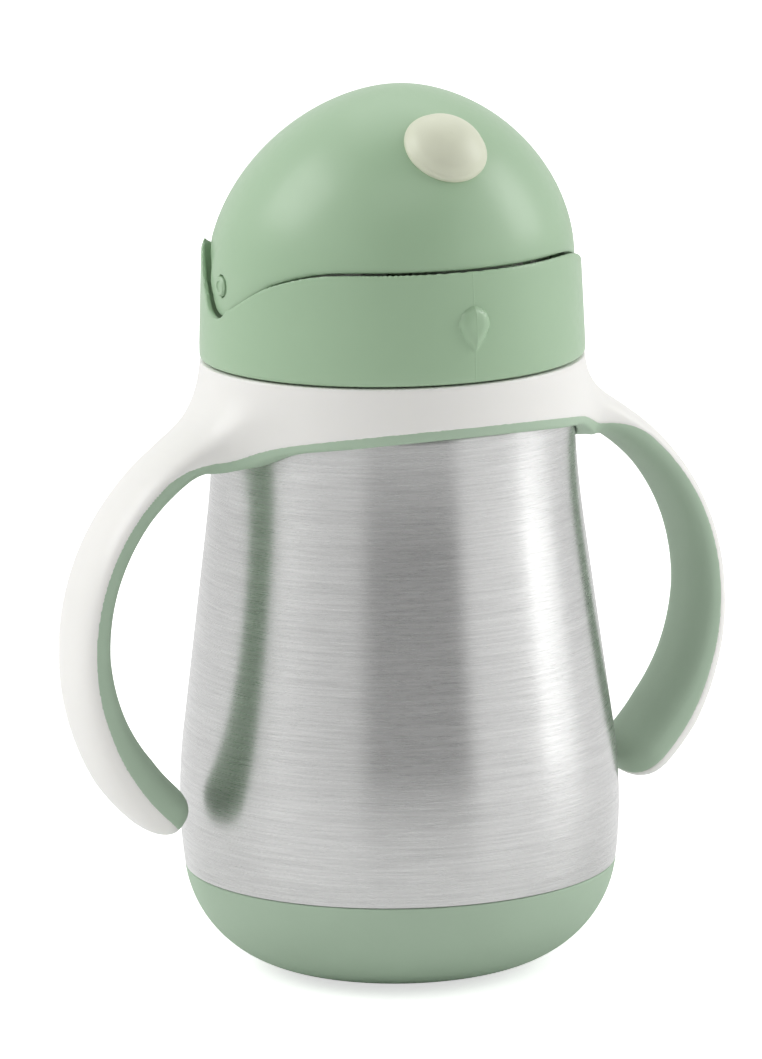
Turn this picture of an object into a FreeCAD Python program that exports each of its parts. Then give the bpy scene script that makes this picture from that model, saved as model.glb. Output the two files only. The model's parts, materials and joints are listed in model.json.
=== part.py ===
import FreeCAD, Part
import math
import os

import Sketcher

# Insulated straw cup for a toddler: twin-handled steel vessel, screw lid with a hinged dome cover
# and a straw that springs up. Millimetres. +Z is up, the origin is the centre of the underside,
# the front (drop mark, straw, thumb knob) faces -Y and the handles lie along X.

document = FreeCAD.newDocument("straw_cup")

# ---------------------------------------------------------------- driving dimensions
DIMENSIONS = [
    ("boot_height", 19.4, "top of the soft boot, flush with the steel"),
    ("boot_foot_radius", 19.4, "radius of the flat that the cup stands on"),
    ("boot_curve_radius", 22.0, "rounding of the boot in section"),
    ("boot_wall", 1.7, "thickness of the boot"),
    ("belly_height", 31.0, "height of the widest point"),
    ("belly_radius", 42.0, "widest radius of the steel"),
    ("flank_low_height", 47.0, "bottom of the straight flank"),
    ("flank_low_radius", 40.85, "radius there"),
    ("flank_high_height", 85.0, "top of the straight flank"),
    ("flank_high_radius", 35.9, "radius there"),
    ("shoulder_height", 105.8, "start of the shoulder"),
    ("shoulder_radius", 34.3, "radius there"),
    ("steel_wall", 0.8, "thickness of both steel walls"),
    ("vacuum_gap", 4.0, "gap between the steel walls"),
    ("neck_radius", 27.0, "outside of the steel neck"),
    ("neck_foot_height", 108.8, "where the neck leaves the shoulder"),
    ("rim_height", 129.0, "top of the steel rim"),
    ("thread_pitch", 4.0, "lead of the lid's screw thread"),
    ("thread_depth", 1.1, "height of the thread ridge"),
    ("thread_foot", 119.4, "height where the neck's thread begins"),
    ("neck_thread_turns", 1.75, "turns of thread on the neck"),
    ("lid_thread_turns", 1.4, "turns of thread inside the lid"),
    ("ring_bottom", 107.3, "underside of the handle ring at the front"),
    ("ring_top", 117.1, "top of the handle ring"),
    ("ring_radius", 36.4, "outside of the handle ring"),
    ("band_height", 1.6, "green band under the ring"),
    ("ring_skirt_drop", 9.5, "how far the ring reaches down at the handles"),
    ("handle_centre_x", 23.3, "centre of the handle's arc"),
    ("handle_centre_z", 66.0, "height of that centre"),
    ("handle_arc_radius", 41.2, "radius of the handle's centre line"),
    ("handle_parting", 0.6, "parting line outward of the centre line"),
    ("lid_gap", 0.3, "seam between the moving parts of the lid"),
    ("collar_bottom", 117.4, "underside of the collar"),
    ("collar_radius", 36.5, "outside of the collar near its foot"),
    ("collar_waist_radius", 36.1, "outside radius half way up"),
    ("collar_waist_height", 128.0, "height of that radius"),
    ("collar_top_radius", 35.9, "outside radius at its front rim"),
    ("collar_top", 138.2, "height of the front rim"),
    ("collar_bore", 34.5, "inside radius of the collar where the deck sits"),
    ("sweep_bore", 35.1, "inside radius above it, where the cover swings"),
    ("sweep_foot", 121.0, "height where that wider bore starts"),
    ("shroud_rim", 134.5, "height of the rear shroud at the back"),
    ("shroud_peak_y", 14.5, "peak of the shroud behind each ear"),
    ("shroud_peak", 140.0, "height of that peak"),
    ("hinge_y", 1.0, "hinge line of the cover"),
    ("hinge_height", 133.0, "height of the hinge line"),
    ("ear_radius", 6.0, "radius of the collar's notch round each ear"),
    ("pin_radius", 1.9, "hinge pin"),
    ("pin_play", 0.08, "radial play of the pin in the ear"),
    ("pin_tip_x", 35.2, "outer end of the pin"),
    ("lug_inner_x", 28.9, "inner face of the hinge lug"),
    ("lug_outer_x", 31.8, "outer face of the hinge lug"),
    ("lug_radius", 4.2, "round top of the lug"),
    ("deck_ceiling", 130.0, "underside of the deck over the gasket"),
    ("deck_top", 131.5, "floor under the cover"),
    ("deck_bore", 28.5, "inside of the threaded cup"),
    ("deck_wall", 1.0, "wall of the threaded cup"),
    ("flange_height", 118.6, "underside of the flange that joins deck and collar"),
    ("flange_thickness", 1.6, "its thickness"),
    ("straw_hole_radius", 5.0, "hole in the deck for the straw's socket"),
    ("vent_y", 13.0, "vent behind the straw"),
    ("vent_radius", 1.2, "hole of the vent"),
    ("cover_foot", 125.0, "height to which the cover's wall is drawn before it is trimmed"),
    ("cover_base", 135.0, "height where the dome's curve starts"),
    ("cover_radius", 34.6, "outside radius there"),
    ("cover_rise", 34.3, "height of the dome above its base"),
    ("cover_power", 1.84, "exponent of the dome's section, 2 is an ellipse"),
    ("cover_lean", 0.14, "forward shift of the dome for each mm of height"),
    ("cover_wall", 1.8, "thickness of the cover"),
    ("cover_rear_y", 14.5, "rear edge of the cover"),
    ("cover_rear_radius", 34.15, "outside of the cover where it slides inside the shroud"),
    ("shield_radius", 29.0, "outside of the fixed rear shield, a sphere about the hinge"),
    ("shield_wall", 1.4, "thickness of the shield"),
    ("knob_y", -24.4, "foot of the thumb knob"),
    ("knob_height", 159.4, "height of that foot"),
    ("knob_tilt", 42.0, "tilt of the knob's axis forward of vertical, degrees"),
    ("knob_radius", 8.0, "radius of the knob"),
    ("knob_thickness", 5.0, "height of the knob over its foot"),
    ("knob_stem_radius", 2.4, "stem of the knob through the cover"),
    ("straw_y", -4.0, "where the straw passes the deck"),
    ("straw_fold_height", 136.4, "fold of the straw above the deck"),
    ("straw_radius", 4.0, "outside of the silicone straw"),
    ("straw_bore", 2.4, "inside of the straw"),
    ("straw_reach", 24.0, "length of the straw beyond its fold"),
    ("straw_lean", 68.0, "lean of the folded straw forward of vertical, degrees"),
    ("straw_foot_height", 15.0, "open lower end of the inner straw"),
    ("socket_bottom", 127.5, "lower end of the straw's socket"),
    ("socket_radius", 7.5, "rim of the socket on the deck"),
    ("presser_width", 5.0, "width of the rib that folds the straw"),
    ("clip_radius", 5.0, "clip that holds the knob inside the cover"),
]

sheet = document.addObject("Spreadsheet::Sheet", "dimensions")
VALUES = {}
for row, (alias, number, meaning) in enumerate(DIMENSIONS, start=1):
    sheet.set("A%d" % row, str(number))
    sheet.setAlias("A%d" % row, alias)
    sheet.set("B%d" % row, meaning)
    VALUES[alias] = float(number)
document.recompute()


class Dim:
    """A length with the sheet expression that produces it, so sketches stay bound to the sheet."""

    def __init__(self, number, text):
        self.number = float(number)
        self.text = text

    def combine(self, other, sign, number):
        other = as_dim(other)
        return Dim(number(self.number, other.number), "(%s %s %s)" % (self.text, sign, other.text))

    def __add__(self, other):
        return self.combine(other, "+", lambda a, b: a + b)

    def __sub__(self, other):
        return self.combine(other, "-", lambda a, b: a - b)

    def __mul__(self, other):
        return self.combine(other, "*", lambda a, b: a * b)

    def __truediv__(self, other):
        return self.combine(other, "/", lambda a, b: a / b)


def as_dim(value):
    return value if isinstance(value, Dim) else Dim(value, "%.6g" % value)


def dim(alias):
    """The sheet cell of that name, as a Dim."""
    return Dim(VALUES[alias], "dimensions." + alias)


def size(alias):
    """The plain number in the sheet cell of that name."""
    return VALUES[alias]


# ---------------------------------------------------------------- sketch and feature helpers
def centre_of_arc(start, end, radius, turn):
    """Centre of the arc from start to end that turns left (+1) or right (-1)."""
    chord_x, chord_y = end[0] - start[0], end[1] - start[1]
    chord = math.hypot(chord_x, chord_y)
    rise = math.sqrt(max(radius * radius - chord * chord / 4.0, 0.0)) * turn
    middle_x, middle_y = (start[0] + end[0]) / 2.0, (start[1] + end[1]) / 2.0
    return middle_x - chord_y / chord * rise, middle_y + chord_x / chord * rise


def add_line(sketch, start, end):
    index = sketch.addGeometry(Part.LineSegment(FreeCAD.Vector(*start, 0), FreeCAD.Vector(*end, 0)))
    return (index, 1), (index, 2)


def add_arc(sketch, start, end, radius, turn):
    middle_x, middle_y = centre_of_arc(start, end, radius, turn)
    first, last = (start, end) if turn > 0 else (end, start)
    low, high = [math.atan2(point[1] - middle_y, point[0] - middle_x) for point in (first, last)]
    if high < low:
        high += 2 * math.pi
    circle = Part.Circle(FreeCAD.Vector(middle_x, middle_y, 0), FreeCAD.Vector(0, 0, 1), radius)
    index = sketch.addGeometry(Part.ArcOfCircle(circle, low, high))
    return ((index, 1), (index, 2)) if turn > 0 else ((index, 2), (index, 1))


def bind(sketch, constraint, text):
    """Add a dimensional constraint and tie it to its sheet expression."""
    number = sketch.addConstraint(constraint)
    sketch.setExpression("Constraints[%d]" % number, text)


def pin_vertex(sketch, handle, point):
    """Fix one vertex at its two distances from the sketch's origin."""
    for axis, kind, value in ((-2, "DistanceX", point[0]), (-1, "DistanceY", point[1])):
        if abs(value.number) < 1e-9:
            sketch.addConstraint(Sketcher.Constraint("PointOnObject", *handle, axis))
        else:
            bind(sketch, Sketcher.Constraint(kind, -1, 1, *handle, value.number), value.text)


def draw(sketch, outline):
    """Closed outline. Each step is (x, y) for a line to that point, or (x, y, radius, turn)."""
    steps = [tuple(as_dim(value) for value in step[:3]) + tuple(step[3:]) for step in outline]
    vertices = [(step[0].number, step[1].number) for step in steps]
    handles = []
    for position, step in enumerate(steps):
        start, end = vertices[position - 1], vertices[position]
        if len(step) == 4:
            handles.append(add_arc(sketch, start, end, step[2].number, step[3]))
        else:
            handles.append(add_line(sketch, start, end))
    for position, step in enumerate(steps):
        following = handles[(position + 1) % len(steps)]
        sketch.addConstraint(Sketcher.Constraint("Coincident", *handles[position][1], *following[0]))
        pin_vertex(sketch, handles[position][1], step)
        if len(step) == 4:
            radius = Sketcher.Constraint("Radius", handles[position][0][0], step[2].number)
            bind(sketch, radius, step[2].text)


def new_body(name):
    body = document.addObject("PartDesign::Body", name)
    body.Label = name
    return body


def new_sketch(body, name, role):
    """Sketch on one of the body's own origin planes: XY_Plane, XZ_Plane or YZ_Plane."""
    sketch = body.newObject("Sketcher::SketchObject", name)
    plane = [feature for feature in body.Origin.OriginFeatures if feature.Role == role][0]
    sketch.AttachmentSupport = (plane, [""])
    sketch.MapMode = "FlatFace"
    return sketch


def revolve(body, name, outline):
    """Turn a half section, drawn in X and Z, about the Z axis."""
    sketch = new_sketch(body, name + "_section", "XZ_Plane")
    draw(sketch, outline)
    feature = body.newObject("PartDesign::Revolution", name)
    feature.Profile = sketch
    feature.ReferenceAxis = (sketch, ["V_Axis"])
    feature.Angle = 360.0
    document.recompute()
    return feature


def cut_through(body, name, role, outline=None, circle=None):
    """Cut an outline, or a circle (x, y, radius), through the whole body, both ways."""
    sketch = new_sketch(body, name + "_outline", role)
    if outline:
        draw(sketch, outline)
    if circle:
        draw_circle(sketch, circle)
    before = body.Shape.Volume
    feature = body.newObject("PartDesign::Pocket", name)
    feature.Profile = sketch
    feature.Type = "ThroughAll"
    feature.Midplane = True
    document.recompute()
    if body.Shape.Volume > before - 1e-3:
        raise RuntimeError(name + " cuts nothing")
    return feature


def draw_circle(sketch, circle):
    x, y, radius = (as_dim(value) for value in circle)
    centre = FreeCAD.Vector(x.number, y.number, 0)
    index = sketch.addGeometry(Part.Circle(centre, FreeCAD.Vector(0, 0, 1), radius.number))
    pin_vertex(sketch, (index, 3), (x, y))
    bind(sketch, Sketcher.Constraint("Radius", index, radius.number), radius.text)


def fused(name, *pieces):
    """One sub-part made of several touching or overlapping objects of the document."""
    fusion = document.addObject("Part::MultiFuse", name)
    fusion.Label = name
    fusion.Shapes = list(pieces)
    fusion.Refine = False
    document.recompute()
    return fusion


def cut(name, base, tool):
    result = document.addObject("Part::Cut", name)
    result.Label = name
    result.Base = base
    result.Tool = tool
    result.Refine = False
    document.recompute()
    return result


def common(name, *pieces):
    result = document.addObject("Part::MultiCommon", name)
    result.Label = name
    result.Shapes = list(pieces)
    result.Refine = False
    document.recompute()
    return result


def shaped(name, shape):
    """A sub-part whose shape comes from Part's own functions."""
    feature = document.addObject("Part::Feature", name)
    feature.Label = name
    feature.Shape = shape
    return feature


def primitive(kind, name, **sizes):
    """A Part primitive with each size tied to a sheet expression."""
    feature = document.addObject(kind, name)
    feature.Label = name
    for prop, value in sizes.items():
        feature.setExpression(prop, as_dim(value).text)
    return feature


def place(feature, x=0, y=0, z=0):
    """Tie a feature's position to sheet expressions."""
    for axis, value in (("x", x), ("y", y), ("z", z)):
        feature.setExpression("Placement.Base." + axis, as_dim(value).text)
    document.recompute()
    return feature


def circle_x(centre_x, centre_y, radius, y):
    """Rightmost x of a circle at height y."""
    inside = radius * radius - (y - centre_y) * (y - centre_y)
    return Dim((centre_x.number + math.sqrt(inside.number)),
               "(%s + sqrt(%s))" % (centre_x.text, inside.text))


def circle_y(centre_x, centre_y, radius, x):
    """Lowest y of a circle at distance x."""
    inside = radius * radius - (x - centre_x) * (x - centre_x)
    return Dim((centre_y.number - math.sqrt(inside.number)),
               "(%s - sqrt(%s))" % (centre_y.text, inside.text))


# ---------------------------------------------------------------- steel vessel
LEFT, RIGHT = 1, -1
wall = dim("steel_wall")
boot_axis = dim("boot_foot_radius"), dim("boot_curve_radius")
boot_inner = dim("boot_curve_radius") - dim("boot_wall")
disc_radius = as_dim(28)
disc_height = circle_y(*boot_axis, boot_inner, disc_radius)
steel_seam_radius = circle_x(*boot_axis, dim("boot_curve_radius"), dim("boot_height"))
step_radius = circle_x(*boot_axis, boot_inner, dim("boot_height"))
shoulder_round = as_dim(3)
flat_radius = dim("shoulder_radius") - shoulder_round
low_arc, belly_arc, waist_arc = 84, 112, 196


THREAD_START = 70   # degrees round the axis where each thread begins


def thread_ridge(radius, inward, start_height, turns):
    """Helical ridge of trapezoid section on a wall, begun at the back, clear of the wall's seam."""
    pitch, depth = size("thread_pitch"), size("thread_depth")
    root, crest, overlap = 1.7, 0.8, 0.25
    side = -1 if inward else 1
    corners = [(radius - side * overlap, -root / 2), (radius + side * depth, -crest / 2),
               (radius + side * depth, crest / 2), (radius - side * overlap, root / 2)]
    points = [FreeCAD.Vector(x, 0, z) for x, z in corners]
    helix = Part.makeHelix(pitch, pitch * turns, radius)
    ridge = Part.Wire(helix).makePipeShell([Part.makePolygon(points + points[:1])], True, True)
    ridge.rotate(FreeCAD.Vector(0, 0, 0), FreeCAD.Vector(0, 0, 1), THREAD_START)
    ridge.translate(FreeCAD.Vector(0, 0, start_height))
    return ridge


def vessel_shell():
    body = new_body("shell_wall")
    inner_seam = steel_seam_radius - wall
    inner_step = dim("boot_height") + wall
    inner_curve = boot_inner - wall
    revolve(body, "shell_turn", [
        (disc_radius, disc_height),
        (step_radius, dim("boot_height"), boot_inner, LEFT),
        (steel_seam_radius, dim("boot_height")),
        (dim("belly_radius"), dim("belly_height"), low_arc, LEFT),
        (dim("flank_low_radius"), dim("flank_low_height"), belly_arc, LEFT),
        (dim("flank_high_radius"), dim("flank_high_height")),
        (dim("shoulder_radius"), dim("shoulder_height"), waist_arc, RIGHT),
        (flat_radius, dim("neck_foot_height"), shoulder_round, LEFT),
        (dim("neck_radius"), dim("neck_foot_height")),
        (dim("neck_radius"), dim("rim_height")),
        (dim("neck_radius") - wall, dim("rim_height")),
        (dim("neck_radius") - wall, dim("neck_foot_height") - wall),
        (flat_radius, dim("neck_foot_height") - wall),
        (dim("shoulder_radius") - wall, dim("shoulder_height"), shoulder_round, RIGHT),
        (dim("flank_high_radius") - wall, dim("flank_high_height"), waist_arc, LEFT),
        (dim("flank_low_radius") - wall, dim("flank_low_height")),
        (dim("belly_radius") - wall, dim("belly_height"), belly_arc, RIGHT),
        (inner_seam, inner_step, low_arc, RIGHT),
        (circle_x(*boot_axis, inner_curve, inner_step), inner_step),
        (disc_radius, circle_y(*boot_axis, inner_curve, disc_radius), inner_curve, RIGHT),
    ])
    ridge = shaped("shell_thread", thread_ridge(size("neck_radius"), False,
                                                 size("thread_foot"), size("neck_thread_turns")))
    return fused("vessel_shell", body, ridge)


def vessel_liner():
    body = new_body("vessel_liner")
    inset = wall + dim("vacuum_gap")
    neck = dim("neck_radius") - wall
    throat_height = dim("shoulder_height") - 8
    floor, floor_radius = as_dim(9), as_dim(26)
    belly, side_low = dim("belly_radius") - inset, dim("flank_low_radius") - inset
    side_high = dim("flank_high_radius") - inset
    throat = dim("shoulder_radius") - inset
    corner = 13
    revolve(body, "liner_turn", [
        (0, floor),
        (floor_radius, floor),
        (belly - 0.6, as_dim(20), corner, LEFT),
        (belly, dim("belly_height")),
        (side_low, dim("flank_low_height"), belly_arc, LEFT),
        (side_high, dim("flank_high_height")),
        (throat, throat_height),
        (neck, dim("shoulder_height")),
        (neck, dim("rim_height")),
        (neck - wall, dim("rim_height")),
        (neck - wall, dim("shoulder_height")),
        (throat - wall, throat_height),
        (side_high - wall, dim("flank_high_height")),
        (side_low - wall, dim("flank_low_height")),
        (belly - wall, dim("belly_height"), belly_arc, RIGHT),
        (belly - wall - 0.6, as_dim(20)),
        (floor_radius, floor + wall, corner, RIGHT),
        (0, floor + wall),
    ])
    return body


def vessel_base_disc():
    disc = primitive("Part::Cylinder", "vessel_base_disc", Radius=disc_radius, Height=wall)
    return place(disc, z=disc_height)


def base_boot():
    body = new_body("base_boot")
    recess, recess_radius = as_dim(0.8), dim("boot_foot_radius") - 2.4
    revolve(body, "boot_turn", [
        (0, recess),
        (recess_radius, recess),
        (recess_radius + 1, 0),
        (dim("boot_foot_radius"), 0),
        (steel_seam_radius, dim("boot_height"), dim("boot_curve_radius"), LEFT),
        (step_radius, dim("boot_height")),
        (disc_radius, disc_height, boot_inner, RIGHT),
        (0, disc_height),
    ])
    return body


# ---------------------------------------------------------------- handle ring and grips
SIDES = (("left", -1), ("right", 1))

# Angle along the handle's arc from the horizontal, thickness across it, width along Y.
ARM_STATIONS = [
    (82, 12.0, 25.0), (70, 8.8, 20.0), (54, 6.7, 17.0), (36, 6.2, 16.4), (16, 6.6, 16.4),
    (-6, 7.5, 16.5), (-24, 9.3, 17.4), (-38, 10.3, 18.1), (-47, 9.4, 16.8), (-51, 7.0, 12.5),
    (-53.5, 2.6, 5.0),
]
SECTION_POWER = 2.6


def arm_section(angle, thickness, width):
    """Closed rounded outline across the handle at one angle of its arc."""
    turn = math.radians(angle)
    outward = FreeCAD.Vector(math.cos(turn), 0, math.sin(turn))
    centre = FreeCAD.Vector(size("handle_centre_x"), 0, size("handle_centre_z"))
    centre = centre + outward * size("handle_arc_radius")
    count = 16
    points = []
    for step in range(count):
        around = 2 * math.pi * step / count
        across, along = math.cos(around), math.sin(around)
        across = math.copysign(abs(across) ** (2 / SECTION_POWER), across) * thickness / 2
        along = math.copysign(abs(along) ** (2 / SECTION_POWER), along) * width / 2
        points.append(centre + outward * across + FreeCAD.Vector(0, along, 0))
    curve = Part.BSplineCurve()
    curve.interpolate(points, PeriodicFlag=True)
    return Part.Wire(curve.toShape())


def arm_shape(side):
    """One whole arm, soft and hard layer together, cleared of the vessel and the lid."""
    arm = Part.makeLoft([arm_section(*station) for station in ARM_STATIONS], True, False)
    if side < 0:
        arm = arm.mirror(FreeCAD.Vector(0, 0, 0), FreeCAD.Vector(1, 0, 0))
    vessel_room = Part.makeCylinder(size("shoulder_radius") + 0.4, size("ring_top"))
    lid_room = Part.makeCylinder(80, 40, FreeCAD.Vector(0, 0, size("ring_top")))
    return arm.cut(vessel_room).cut(lid_room)


def outer_layer(side):
    """Everything outward of the parting line between the hard and the soft layer."""
    radius = size("handle_arc_radius") + size("handle_parting")
    start = FreeCAD.Vector(side * size("handle_centre_x"), -50, size("handle_centre_z"))
    tube = Part.makeCylinder(radius, 100, start, FreeCAD.Vector(0, 1, 0))
    corner = FreeCAD.Vector(0 if side > 0 else -90, -50, 0)
    return Part.makeBox(90, 100, 130, corner).cut(tube)


def below_ring_edge(level):
    """Outline, in Y and Z, of what lies below the ring's edge, which dips at the handles."""
    reach, sweep, floor = as_dim(46), as_dim(190), as_dim(80)
    corner = dim("ring_radius")
    return [
        (reach, floor),
        (reach, level),
        (corner, level),
        (0, level - dim("ring_skirt_drop"), sweep, LEFT),
        (corner * -1, level, sweep, LEFT),
        (reach * -1, level),
        (reach * -1, floor),
    ]


def ring_skirt(name, level, top, bottom):
    """Thin wall that hugs the shoulder, cut off below the ring's dipping edge."""
    body = new_body(name)
    inner = dim("shoulder_radius") + 0.4
    revolve(body, name + "_turn", [
        (inner, bottom),
        (dim("ring_radius"), bottom),
        (dim("ring_radius"), top),
        (inner, top),
    ])
    cut_through(body, name + "_edge", "YZ_Plane", below_ring_edge(level))
    return body


def ring_seat():
    """The solid upper ring that sits on the steel shoulder, under the lid."""
    body = new_body("ring_seat")
    edge = as_dim(1.2)
    revolve(body, "seat_turn", [
        (dim("neck_radius") + 0.2, dim("neck_foot_height") + 0.1),
        (dim("ring_radius"), dim("neck_foot_height") + 0.1),
        (dim("ring_radius"), dim("ring_top") - edge),
        (dim("ring_radius") - edge, dim("ring_top"), edge, LEFT),
        (dim("neck_radius") + 0.2, dim("ring_top")),
    ])
    return body


def handle_pieces():
    """White frame, green band and the two green grips."""
    white_level = dim("ring_bottom") + dim("band_height")
    low = dim("ring_bottom") - dim("ring_skirt_drop") - 1
    seat_bottom = dim("neck_foot_height") + 0.1
    skirt = ring_skirt("white_skirt", white_level, seat_bottom, low)
    arms = {name: shaped("arm_" + name, arm_shape(side)) for name, side in SIDES}
    layers = {name: shaped("layer_" + name, outer_layer(side)) for name, side in SIDES}
    hard = [common("hard_arm_" + name, arms[name], layers[name]) for name, side in SIDES]
    frame = fused("handle_frame", ring_seat(), skirt, *hard)
    band_wall = ring_skirt("band_wall", dim("ring_bottom"), seat_bottom, low)
    band_tools = fused("band_tools", frame, *arms.values())
    band = cut("grip_band", band_wall, band_tools)
    grips = []
    for name, side in SIDES:
        soft = cut("soft_arm_" + name, arms[name], frame)
        grips.append(cut("handle_grip_" + name, soft, band_wall))
    return [frame, band] + grips


# ---------------------------------------------------------------- lid
hinge_y, hinge_z = dim("hinge_y"), dim("hinge_height")


def sine(degrees):
    return round(math.sin(math.radians(degrees)), 6)


def cosine(degrees):
    return round(math.cos(math.radians(degrees)), 6)


def seam_front(gap, radius):
    """Seam between collar and cover in Y and Z: flat front rim, swoop, notch round the ear."""
    rim = dim("collar_top") + gap
    leave, arrive = 225, -22
    return [
        (-46, rim),
        (-27, rim),
        (-15, rim - 3.2, 24, RIGHT),
        (hinge_y + radius * cosine(leave) - gap * 0.7, hinge_z + radius * sine(leave) + gap * 0.3),
        (hinge_y + radius * cosine(arrive), hinge_z + radius * sine(arrive), radius, LEFT),
    ]


def collar_outline():
    """Everything above the collar: cover and ears in front, the open top behind."""
    rear = [
        (10.2, 134.2),
        (dim("shroud_peak_y"), dim("shroud_peak")),
        (46, dim("shroud_rim") - 1),
        (46, 150),
        (-46, 150),
    ]
    return seam_front(as_dim(0), dim("ear_radius")) + rear


def drop_mark():
    """Raised drop on the collar's front, point down."""
    centre_z, half_width, top, point = 128.4, 3.0, 131.6, 123.2
    swell, swell_z, proud = 2.2, 125.9, 0.9
    bulge = Part.Arc(FreeCAD.Vector(-half_width, 0, centre_z), FreeCAD.Vector(0, 0, top),
                     FreeCAD.Vector(half_width, 0, centre_z)).toShape()
    left = Part.Arc(FreeCAD.Vector(0, 0, point), FreeCAD.Vector(-swell, 0, swell_z),
                    FreeCAD.Vector(-half_width, 0, centre_z)).toShape()
    right = Part.Arc(FreeCAD.Vector(half_width, 0, centre_z), FreeCAD.Vector(swell, 0, swell_z),
                     FreeCAD.Vector(0, 0, point)).toShape()
    face = Part.Face(Part.Wire([left, bulge, right]))
    block = face.extrude(FreeCAD.Vector(0, 4, 0))
    block.translate(FreeCAD.Vector(0, -39, 0))
    return block.common(Part.makeCylinder(size("collar_radius") + proud, 200))


def lid_collar():
    body = new_body("collar_wall")
    bore, foot, edge = dim("collar_bore"), dim("collar_bottom"), as_dim(1.6)
    revolve(body, "collar_turn", [
        (bore, foot),
        (dim("collar_radius") - edge, foot),
        (dim("collar_radius"), foot + edge, edge, LEFT),
        (dim("collar_waist_radius"), dim("collar_waist_height")),
        (dim("collar_top_radius"), dim("collar_top")),
        (dim("collar_top_radius"), dim("shroud_peak") + 2),
        (dim("sweep_bore"), dim("shroud_peak") + 2),
        (dim("sweep_bore"), dim("sweep_foot")),
        (bore, dim("sweep_foot")),
    ])
    cut_through(body, "collar_seam", "YZ_Plane", collar_outline())
    return fused("lid_collar", body, shaped("drop_mark", drop_mark()))


def hinge_lug(name, side):
    """Upright lug with a round top, bored for the pin by the deck."""
    width = dim("lug_outer_x") - dim("lug_inner_x")
    top = primitive("Part::Cylinder", "lug_top_" + name, Radius=dim("lug_radius"), Height=width)
    top.Placement.Rotation = FreeCAD.Rotation(FreeCAD.Vector(0, 1, 0), 90)
    start = dim("lug_inner_x") if side > 0 else dim("lug_outer_x") * -1
    place(top, start, hinge_y, hinge_z)
    foot = primitive("Part::Box", "lug_foot_" + name, Length=width, Width=dim("lug_radius") * 2,
                     Height=hinge_z - dim("deck_top") + 4)
    place(foot, start, hinge_y - dim("lug_radius"), dim("deck_top") - 4)
    return [top, foot]


def cross_pin(name, radius, start, length):
    """Cylinder along X on the hinge line."""
    pin = primitive("Part::Cylinder", name, Radius=radius, Height=length)
    pin.Placement.Rotation = FreeCAD.Rotation(FreeCAD.Vector(0, 1, 0), 90)
    return place(pin, start, hinge_y, hinge_z)


def lid_deck():
    body = new_body("deck_cup")
    outer = dim("deck_bore") + dim("deck_wall")
    flange_top = dim("flange_height") + dim("flange_thickness")
    revolve(body, "deck_turn", [
        (0, dim("deck_ceiling")),
        (dim("deck_bore"), dim("deck_ceiling")),
        (dim("deck_bore"), dim("flange_height")),
        (dim("collar_bore"), dim("flange_height")),
        (dim("collar_bore"), flange_top),
        (outer, flange_top),
        (outer, dim("deck_top")),
        (0, dim("deck_top")),
    ])
    cut_through(body, "straw_hole", "XY_Plane", circle=(0, dim("straw_y"), dim("straw_hole_radius")))
    cut_through(body, "vent_hole", "XY_Plane", circle=(0, dim("vent_y"), dim("vent_radius")))
    start_height = size("thread_foot") + size("thread_pitch") / 2
    ridge = shaped("deck_thread", thread_ridge(size("deck_bore"), True, start_height,
                                               size("lid_thread_turns")))
    lugs = [piece for name, side in SIDES for piece in hinge_lug(name, side)]
    solid = fused("deck_solid", body, ridge, *lugs)
    width = dim("lug_outer_x") - dim("lug_inner_x")
    right_bore = cross_pin("lug_bore_right", dim("pin_radius"), dim("lug_inner_x"), width)
    left_bore = cross_pin("lug_bore_left", dim("pin_radius"), dim("lug_outer_x") * -1, width)
    return cut("lid_deck", cut("deck_one_bore", solid, right_bore), left_bore)


def hinge_pins():
    length = dim("pin_tip_x") - dim("lug_inner_x")
    starts = {"left": dim("pin_tip_x") * -1, "right": dim("lug_inner_x")}
    return [cross_pin("hinge_pin_" + name, dim("pin_radius"), starts[name], length)
            for name, side in SIDES]


def lid_gasket():
    outer = primitive("Part::Cylinder", "gasket_outer", Radius=dim("neck_radius") + 0.8,
                      Height=dim("deck_ceiling") - dim("rim_height"))
    inner = primitive("Part::Cylinder", "gasket_inner", Radius=dim("neck_radius") - 2.6, Height=4)
    place(outer, z=dim("rim_height"))
    place(inner, z=dim("rim_height") - 1)
    return cut("lid_gasket", outer, inner)


def rear_shield():
    """Part of a sphere about the hinge line, on the deck, slotted for the straw presser."""
    centre = FreeCAD.Vector(0, size("hinge_y"), size("hinge_height"))
    outer = Part.makeSphere(size("shield_radius"), centre)
    inner = Part.makeSphere(size("shield_radius") - size("shield_wall"), centre)
    room = Part.makeBox(80, 60, 60, FreeCAD.Vector(-40, size("hinge_y") + 7, size("deck_top")))
    rim = Part.makeCylinder(size("deck_bore") + size("deck_wall"), 80, FreeCAD.Vector(0, 0, 100))
    slot = Part.makeBox(7, 26, 30, FreeCAD.Vector(-3.5, size("hinge_y"), size("hinge_height") + 16))
    return shaped("rear_shield", outer.cut(inner).common(room).common(rim).cut(slot))


def cap_radius(half_width, rise):
    """Radius of a round cap of that half width and rise, centred on its axis."""
    return (half_width * half_width + rise * rise) / (rise * 2)


def vent_valve():
    body = new_body("vent_valve")
    top, rise, reach = dim("deck_top"), as_dim(1.4), as_dim(3.6)
    foot = top - 2.6
    revolve(body, "valve_turn", [
        (0, foot),
        (dim("vent_radius"), foot),
        (dim("vent_radius"), top),
        (reach, top),
        (0, top + rise, cap_radius(reach, rise), LEFT),
    ])
    return place(body, y=dim("vent_y"))


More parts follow.
